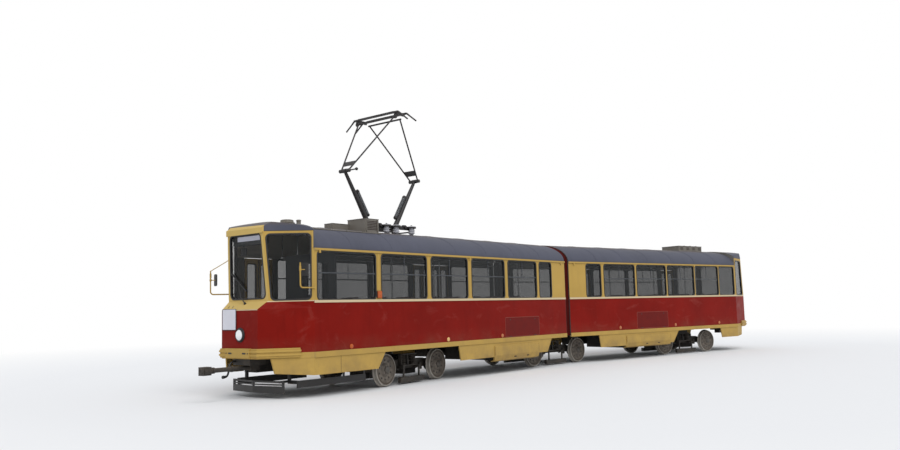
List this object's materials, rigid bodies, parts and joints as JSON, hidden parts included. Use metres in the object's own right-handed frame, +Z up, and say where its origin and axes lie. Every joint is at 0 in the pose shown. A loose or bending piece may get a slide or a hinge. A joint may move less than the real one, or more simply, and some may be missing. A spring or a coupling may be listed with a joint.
{
  "type": "articulated tram",
  "caption": "Two-section articulated tram on three bogies with folding doors, a driver's cab, a tapered tail and a crossed-arm roof pantograph, stored part way round a bend.",
  "frame": {"origin": "on the axis of the pivot between the two sections, at the height of the flange bottoms, 22 mm below the rail heads", "axes": "+X along the front section towards the tail, +Y to the door side, +Z up"},
  "size_m": [20.4371, 4.3522, 5.9639],
  "materials": {
    "red_paint": "satin",
    "cream_paint": "satin",
    "roof_grey": "matt",
    "black_steel": "matt",
    "under_grey": "matt",
    "wheel_steel": "worn",
    "glazing": "clear",
    "bellows_skin": "matt",
    "seat_shell": "satin",
    "rail_steel": "polished",
    "lamp_lens": "polished",
    "cab_grey": "matt",
    "red_lens": "gloss"
  },
  "bodies": {
    "front_section": {"front_underframe": "under_grey", "front_wall_left": "red_paint", "front_wall_right": "red_paint", "front_roof": "roof_grey", "front_skirts": "red_paint", "front_bumper": "cream_paint", "front_coupler": "black_steel", "front_seats": "seat_shell", "front_handrails": "rail_steel", "front_glass": "glazing", "front_lamps": "lamp_lens", "cab_shell": "cream_paint", "cab_desk": "cab_grey", "lifeguard": "black_steel", "mirror_brackets": "black_steel", "roof_boxes": "roof_grey", "pantograph_base": "black_steel", "bellows": "bellows_skin"},
    "rear_section": {"rear_underframe": "under_grey", "rear_wall_left": "red_paint", "rear_wall_right": "red_paint", "rear_roof": "roof_grey", "rear_skirts": "red_paint", "rear_bumper": "cream_paint", "rear_coupler": "black_steel", "rear_seats": "seat_shell", "rear_handrails": "rail_steel", "rear_glass": "glazing", "rear_lamps": "red_lens", "tail_shell": "red_paint", "rear_roof_case": "roof_grey"},
    "front_bogie": {"front_bogie_frame": "under_grey", "front_bogie_motors": "under_grey"},
    "front_wheels_lead": {"front_wheelset_lead": "wheel_steel"},
    "front_wheels_trail": {"front_wheelset_trail": "wheel_steel"},
    "centre_bogie": {"centre_bogie_frame": "under_grey"},
    "centre_wheels_lead": {"centre_wheelset_lead": "wheel_steel"},
    "centre_wheels_trail": {"centre_wheelset_trail": "wheel_steel"},
    "rear_bogie": {"rear_bogie_frame": "under_grey", "rear_bogie_motors": "under_grey"},
    "rear_wheels_lead": {"rear_wheelset_lead": "wheel_steel"},
    "rear_wheels_trail": {"rear_wheelset_trail": "wheel_steel"},
    "front_leaf_1": {"front_door_leaf_1": "red_paint"},
    "front_leaf_2": {"front_door_leaf_2": "red_paint"},
    "middle_leaf_1": {"middle_door_leaf_1": "red_paint"},
    "middle_leaf_2": {"middle_door_leaf_2": "red_paint"},
    "middle_leaf_4": {"middle_door_leaf_4": "red_paint"},
    "middle_leaf_3": {"middle_door_leaf_3": "red_paint"},
    "trailing_leaf_1": {"trailing_door_leaf_1": "red_paint"},
    "trailing_leaf_2": {"trailing_door_leaf_2": "red_paint"},
    "trailing_leaf_4": {"trailing_door_leaf_4": "red_paint"},
    "trailing_leaf_3": {"trailing_door_leaf_3": "red_paint"},
    "rear_leaf_1": {"rear_door_leaf_1": "red_paint"},
    "rear_leaf_2": {"rear_door_leaf_2": "red_paint"},
    "panto_lower_front": {"pantograph_lower_front": "black_steel"},
    "panto_upper_front": {"pantograph_upper_front": "black_steel"},
    "panto_head": {"pantograph_head": "black_steel"},
    "panto_lower_rear": {"pantograph_lower_rear": "black_steel"},
    "panto_upper_rear": {"pantograph_upper_rear": "black_steel"}
  },
  "joints": [
    {"name": "articulation", "type": "hinge", "parent": "front_section", "child": "rear_section", "pos_m": [0, 0, 0.75], "axis": [0, 0, 1], "range_deg": [-5.7, 30.3], "deforming": ["bellows"]},
    {"name": "front_bogie_yaw", "type": "hinge", "parent": "front_section", "child": "front_bogie", "pos_m": [-6, 0, 0.6], "axis": [0, 0, 1], "range_deg": [-16.15, 3.85]},
    {"name": "front_wheels_lead_spin", "type": "hinge", "parent": "front_bogie", "child": "front_wheels_lead", "pos_m": [-6.94453, -0.10178, 0.349], "axis": [-0.1071, 0.9942, 0], "continuous": true},
    {"name": "front_wheels_trail_spin", "type": "hinge", "parent": "front_bogie", "child": "front_wheels_trail", "pos_m": [-5.05547, 0.10178, 0.349], "axis": [-0.1071, 0.9942, 0], "continuous": true},
    {"name": "centre_bogie_yaw", "type": "hinge", "parent": "front_section", "child": "centre_bogie", "pos_m": [0, 0, 0.6], "axis": [0, 0, 1], "range_deg": [-2.9, 15.2]},
    {"name": "centre_wheels_lead_spin", "type": "hinge", "parent": "centre_bogie", "child": "centre_wheels_lead", "pos_m": [-0.94453, 0.10178, 0.349], "axis": [0.1071, 0.9942, 0], "continuous": true},
    {"name": "centre_wheels_trail_spin", "type": "hinge", "parent": "centre_bogie", "child": "centre_wheels_trail", "pos_m": [0.94453, -0.10178, 0.349], "axis": [0.1071, 0.9942, 0], "continuous": true},
    {"name": "rear_bogie_yaw", "type": "hinge", "parent": "rear_section", "child": "rear_bogie", "pos_m": [5.86227, -1.27818, 0.6], "axis": [0, 0, 1], "range_deg": [-3.85, 16.15]},
    {"name": "rear_wheels_lead_spin", "type": "hinge", "parent": "rear_bogie", "child": "rear_wheels_lead", "pos_m": [4.9611, -0.97753, 0.349], "axis": [0.3165, 0.9486, 0], "continuous": true},
    {"name": "rear_wheels_trail_spin", "type": "hinge", "parent": "rear_bogie", "child": "rear_wheels_trail", "pos_m": [6.76344, -1.57884, 0.349], "axis": [0.3165, 0.9486, 0], "continuous": true},
    {"name": "front_door_1", "type": "hinge", "parent": "front_section", "child": "front_leaf_1", "pos_m": [-8.828, 1.1775, 1.5], "axis": [0, 0, -1], "range_deg": [0, 85]},
    {"name": "front_door_2", "type": "hinge", "parent": "front_leaf_1", "child": "front_leaf_2", "pos_m": [-8.52, 1.201, 1.5], "axis": [0, 0, 1], "range_deg": [0, 170]},
    {"name": "middle_door_1", "type": "hinge", "parent": "front_section", "child": "middle_leaf_1", "pos_m": [-3.648, 1.1775, 1.5], "axis": [0, 0, -1], "range_deg": [0, 85]},
    {"name": "middle_door_2", "type": "hinge", "parent": "middle_leaf_1", "child": "middle_leaf_2", "pos_m": [-3.34, 1.201, 1.5], "axis": [0, 0, 1], "range_deg": [0, 170]},
    {"name": "middle_door_4", "type": "hinge", "parent": "front_section", "child": "middle_leaf_4", "pos_m": [-2.33, 1.1775, 1.5], "axis": [0, 0, 1], "range_deg": [0, 85]},
    {"name": "middle_door_3", "type": "hinge", "parent": "middle_leaf_4", "child": "middle_leaf_3", "pos_m": [-2.638, 1.201, 1.5], "axis": [0, 0, -1], "range_deg": [0, 170]},
    {"name": "trailing_door_1", "type": "hinge", "parent": "rear_section", "child": "trailing_leaf_1", "pos_m": [2.54885, 0.64942, 1.5], "axis": [0, 0, -1], "range_deg": [0, 85]},
    {"name": "trailing_door_2", "type": "hinge", "parent": "trailing_leaf_1", "child": "trailing_leaf_2", "pos_m": [2.85479, 0.60677, 1.5], "axis": [0, 0, 1], "range_deg": [0, 170]},
    {"name": "trailing_door_4", "type": "hinge", "parent": "rear_section", "child": "trailing_leaf_4", "pos_m": [3.8366, 0.36865, 1.5], "axis": [0, 0, 1], "range_deg": [0, 85]},
    {"name": "trailing_door_3", "type": "hinge", "parent": "trailing_leaf_4", "child": "trailing_leaf_3", "pos_m": [3.54068, 0.45722, 1.5], "axis": [0, 0, -1], "range_deg": [0, 170]},
    {"name": "rear_door_1", "type": "hinge", "parent": "rear_section", "child": "rear_leaf_1", "pos_m": [7.46339, -0.42212, 1.5], "axis": [0, 0, -1], "range_deg": [0, 85]},
    {"name": "rear_door_2", "type": "hinge", "parent": "rear_leaf_1", "child": "rear_leaf_2", "pos_m": [7.76933, -0.46477, 1.5], "axis": [0, 0, 1], "range_deg": [0, 170]},
    {"name": "pantograph_lower_front", "type": "hinge", "parent": "front_section", "child": "panto_lower_front", "pos_m": [-6.4, 0, 3.422], "axis": [0, 1, 0], "range_deg": [-44, 4]},
    {"name": "pantograph_upper_front", "type": "hinge", "parent": "panto_lower_front", "child": "panto_upper_front", "pos_m": [-7.12599, 0, 4.58383], "axis": [0, 1, 0], "range_deg": [-8.61, 89.73]},
    {"name": "pantograph_head", "type": "hinge", "parent": "panto_upper_front", "child": "panto_head", "pos_m": [-6.14, 0, 5.84392], "axis": [0, 1, 0], "range_deg": [-45.73, 4.61]},
    {"name": "pantograph_lower_rear", "type": "hinge", "parent": "front_section", "child": "panto_lower_rear", "pos_m": [-5.6, 0, 3.422], "axis": [0, 1, 0], "range_deg": [-4.5, 44.5]},
    {"name": "pantograph_upper_rear", "type": "hinge", "parent": "panto_lower_rear", "child": "panto_upper_rear", "pos_m": [-4.87401, 0, 4.58383], "axis": [0, 1, 0], "range_deg": [-89.73, 8.61]}
  ],
  "couplings": [
    {"joint": "centre_bogie_yaw", "follows": "articulation", "ratio": 0.5},
    {"joint": "front_door_2", "follows": "front_door_1", "ratio": 2},
    {"joint": "middle_door_2", "follows": "middle_door_1", "ratio": 2},
    {"joint": "middle_door_4", "follows": "middle_door_1", "ratio": 1},
    {"joint": "middle_door_3", "follows": "middle_door_1", "ratio": 2},
    {"joint": "trailing_door_2", "follows": "trailing_door_1", "ratio": 2},
    {"joint": "trailing_door_4", "follows": "trailing_door_1", "ratio": 1},
    {"joint": "trailing_door_3", "follows": "trailing_door_1", "ratio": 2},
    {"joint": "rear_door_2", "follows": "rear_door_1", "ratio": 2},
    {"joint": "pantograph_upper_front", "follows": "pantograph_lower_front", "ratio": -2.028},
    {"joint": "pantograph_head", "follows": "pantograph_lower_front", "ratio": 1.028},
    {"joint": "pantograph_lower_rear", "follows": "pantograph_lower_front", "ratio": -1},
    {"joint": "pantograph_upper_rear", "follows": "pantograph_lower_front", "ratio": 2.028}
  ]
}
